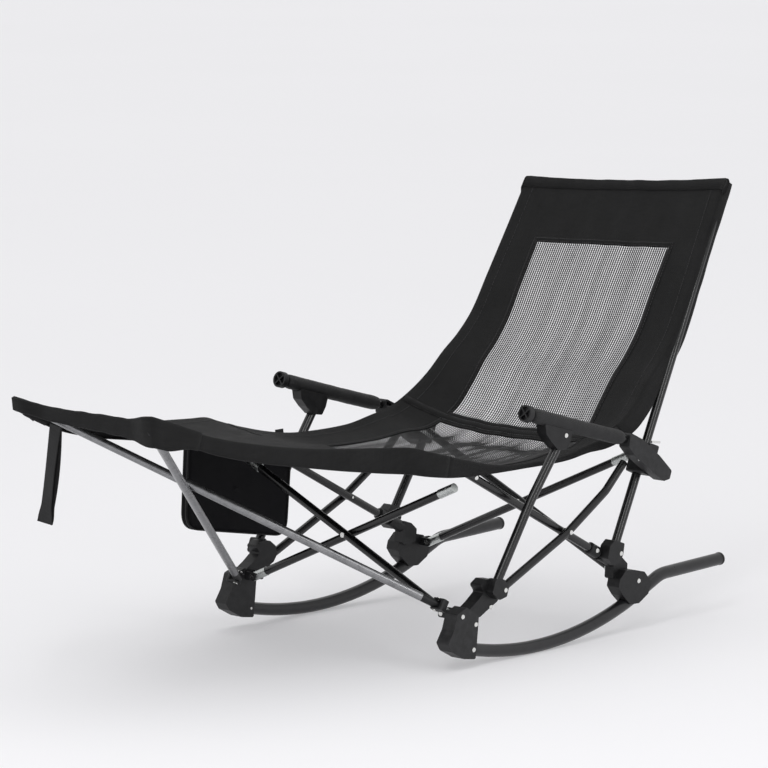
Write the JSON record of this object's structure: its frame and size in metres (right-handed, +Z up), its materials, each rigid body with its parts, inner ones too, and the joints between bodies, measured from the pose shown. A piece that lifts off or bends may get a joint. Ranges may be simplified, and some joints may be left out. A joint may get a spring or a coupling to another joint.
{
  "type": "camp rocking chair",
  "caption": "Folding camp rocking chair: black steel X frame on two curved rockers, reclined cloth sling with mesh windows, raised leg rest, padded armrests and a hanging side bag.",
  "frame": {"origin": "on the floor, in the middle of the chair's width, level with the front feet", "axes": "+Z up, +Y from the leg rest towards the backrest, +X to the sitter's left"},
  "size_m": [0.6866, 1.5426, 0.8665],
  "materials": {
    "powder_coat": "gloss",
    "grey_tube": "satin",
    "galvanised": "satin",
    "rivet_steel": "polished",
    "moulded": "matte",
    "pad_foam": "matte",
    "sling_cloth": "matte",
    "mesh_cloth": "matte",
    "bag_cloth": "matte",
    "webbing": "matte"
  },
  "bodies": {
    "left_side": {"rivets_left": "rivet_steel", "pivot_pins_left": "rivet_steel", "front_foot_left": "moulded", "side_long_left": "powder_coat", "side_short_left": "powder_coat", "front_post_left": "powder_coat", "back_post_left": "powder_coat", "front_hub_left": "moulded", "rear_hub_left": "moulded", "slider_left": "moulded", "stop_collar_left": "moulded", "arm_core_left": "powder_coat", "arm_pad_left": "pad_foam", "arm_cap_left": "moulded", "arm_bracket_left": "moulded", "arm_tail_left": "moulded", "corner_bolt_left": "rivet_steel", "seat_panel": "sling_cloth", "seat_mesh": "mesh_cloth", "back_panel": "sling_cloth", "back_mesh": "mesh_cloth", "rest_panel": "sling_cloth", "strap": "webbing"},
    "right_side": {"rivets_right": "rivet_steel", "pivot_pins_right": "rivet_steel", "front_foot_right": "moulded", "side_long_right": "powder_coat", "side_short_right": "powder_coat", "front_post_right": "powder_coat", "back_post_right": "powder_coat", "front_hub_right": "moulded", "rear_hub_right": "moulded", "slider_right": "moulded", "stop_collar_right": "moulded", "arm_core_right": "powder_coat", "arm_pad_right": "pad_foam", "arm_cap_right": "moulded", "arm_bracket_right": "moulded", "arm_tail_right": "moulded", "corner_bolt_right": "rivet_steel", "side_bag": "bag_cloth"},
    "front_cross_left": {"front_cross_left": "powder_coat", "front_cross_left_fittings": "galvanised", "front_cross_rivet": "rivet_steel"},
    "front_cross_right": {"front_cross_right": "powder_coat", "front_cross_right_fittings": "galvanised"},
    "rear_cross_left": {"rear_cross_left": "powder_coat", "rear_cross_left_fittings": "galvanised", "rear_cross_rivet": "rivet_steel"},
    "rear_cross_right": {"rear_cross_right": "powder_coat", "rear_cross_right_fittings": "galvanised"},
    "rest_left": {"rest_tube_left": "grey_tube", "rest_ends_left": "moulded"},
    "rocker_left": {"rocker_left": "powder_coat", "handle_cap_left": "moulded"},
    "rest_right": {"rest_tube_right": "grey_tube", "rest_ends_right": "moulded"},
    "rocker_right": {"rocker_right": "powder_coat", "handle_cap_right": "moulded"}
  },
  "joints": [
    {"name": "frame_fold", "type": "hinge", "parent": "left_side", "child": "front_cross_left", "pos_m": [0.262, -0.017, 0.105], "axis": [0, 1, 0], "range_deg": [0, 53.8], "deforming": ["seat_panel", "seat_mesh", "back_panel", "back_mesh", "rest_panel", "strap"]},
    {"name": "front_crossing", "type": "hinge", "parent": "front_cross_left", "child": "front_cross_right", "pos_m": [0, -0.008, 0.2226], "axis": [0, 1, 0], "range_deg": [-107.8, 0]},
    {"name": "front_foot_pin", "type": "hinge", "parent": "front_cross_right", "child": "right_side", "pos_m": [-0.262, 0.001, 0.105], "axis": [0, 1, 0], "range_deg": [0, 53.9]},
    {"name": "rear_foot_pin", "type": "hinge", "parent": "left_side", "child": "rear_cross_left", "pos_m": [0.262, 0.491, 0.107], "axis": [0, 1, 0], "range_deg": [0, 53.9]},
    {"name": "rear_crossing", "type": "hinge", "parent": "rear_cross_left", "child": "rear_cross_right", "pos_m": [0, 0.5, 0.2246], "axis": [0, 1, 0], "range_deg": [-107.8, 0]},
    {"name": "rest_pin_left", "type": "hinge", "parent": "left_side", "child": "rest_left", "pos_m": [0.262, -0.04119, 0.12361], "axis": [0, 0.5339, 0.8455], "range_deg": [0, 23.34]},
    {"name": "rest_pin_right", "type": "hinge", "parent": "right_side", "child": "rest_right", "pos_m": [-0.262, -0.05081, 0.10839], "axis": [0, -0.5339, -0.8455], "range_deg": [0, 23.34]},
    {"name": "rocker_unclip_left", "type": "hinge", "parent": "left_side", "child": "rocker_left", "pos_m": [0.297, 0.007, 0.036], "axis": [-1, 0, 0], "range_deg": [0, 85]},
    {"name": "rocker_unclip_right", "type": "hinge", "parent": "right_side", "child": "rocker_right", "pos_m": [-0.297, 0.007, 0.036], "axis": [-1, 0, 0], "range_deg": [0, 85]}
  ],
  "couplings": [
    {"joint": "front_crossing", "follows": "frame_fold", "ratio": -2},
    {"joint": "front_foot_pin", "follows": "frame_fold", "ratio": 1},
    {"joint": "rear_foot_pin", "follows": "frame_fold", "ratio": 1},
    {"joint": "rear_crossing", "follows": "frame_fold", "ratio": -2},
    {"joint": "rest_pin_left", "follows": "frame_fold", "ratio": 0.432},
    {"joint": "rest_pin_right", "follows": "frame_fold", "ratio": 0.432}
  ]
}
